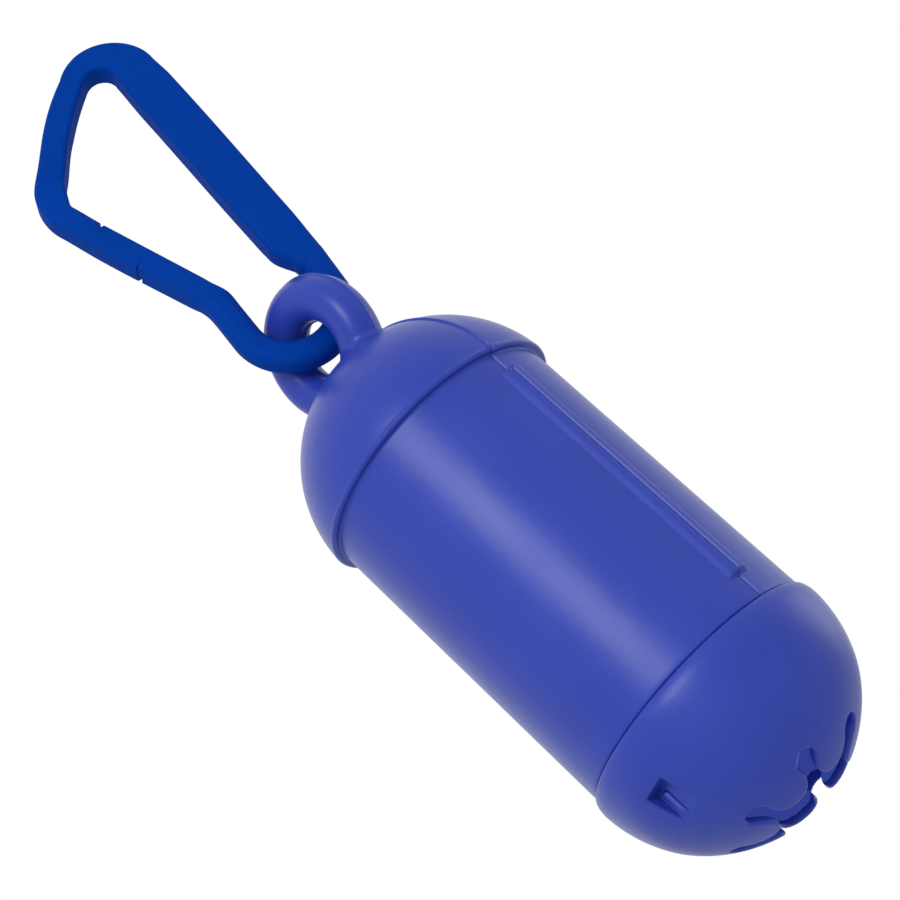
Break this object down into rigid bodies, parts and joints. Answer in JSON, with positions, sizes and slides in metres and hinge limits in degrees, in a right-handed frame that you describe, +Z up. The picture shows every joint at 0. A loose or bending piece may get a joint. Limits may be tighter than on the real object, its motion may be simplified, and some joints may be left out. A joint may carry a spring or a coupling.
{
  "type": "dog poop bag dispenser",
  "caption": "Domed capsule dispenser for a roll of waste bags, with a twist-off cap, flower-shaped bag opening and moulded loop, hanging from a plastic snap hook.",
  "frame": {"origin": "under the hook's top bend, where the ring or strap that carries the dispenser lies", "axes": "+Z up, along the hanging capsule's axis; +X towards the hook's spine, away from its gate; +Y away from the viewer of the hook's flat side"},
  "size_m": [0.0399, 0.04, 0.1577],
  "materials": {
    "capsule_plastic": "satin moulded plastic, blue with a violet cast",
    "hook_plastic": "satin moulded plastic, deep blue",
    "bag_film": "thin film wound tight, slightly glossy, dark blue",
    "core_card": "plain grey-brown card"
  },
  "bodies": {
    "carabiner": {"carabiner_frame": "hook_plastic"},
    "gate": {"carabiner_gate": "hook_plastic"},
    "capsule": {"capsule_body": "capsule_plastic"},
    "cap": {"end_cap": "capsule_plastic"},
    "roll": {"bag_roll": "bag_film", "roll_core": "core_card", "lead_bag": "bag_film"}
  },
  "joints": [
    {"name": "gate_flex", "type": "hinge", "parent": "carabiner", "child": "gate", "pos_m": [-0.01311, 0, -0.04802], "axis": [0, 1, 0], "range_deg": [0, 25], "stiffness_Nm_per_rad": 0.2},
    {"name": "capsule_swing", "type": "hinge", "parent": "carabiner", "child": "capsule", "pos_m": [-0.00663, 0, -0.0608], "axis": [0.8829, 0.4695, 0], "range_deg": [-95, 95]},
    {"name": "cap_twist", "type": "hinge", "parent": "capsule", "child": "cap", "pos_m": [-0.00663, 0, -0.1334], "axis": [0, 0, 1], "range_deg": [-35, 0]},
    {"name": "roll_spin", "type": "hinge", "parent": "capsule", "child": "roll", "pos_m": [-0.00663, 0, -0.14441], "axis": [0, 0, 1], "continuous": true}
  ]
}
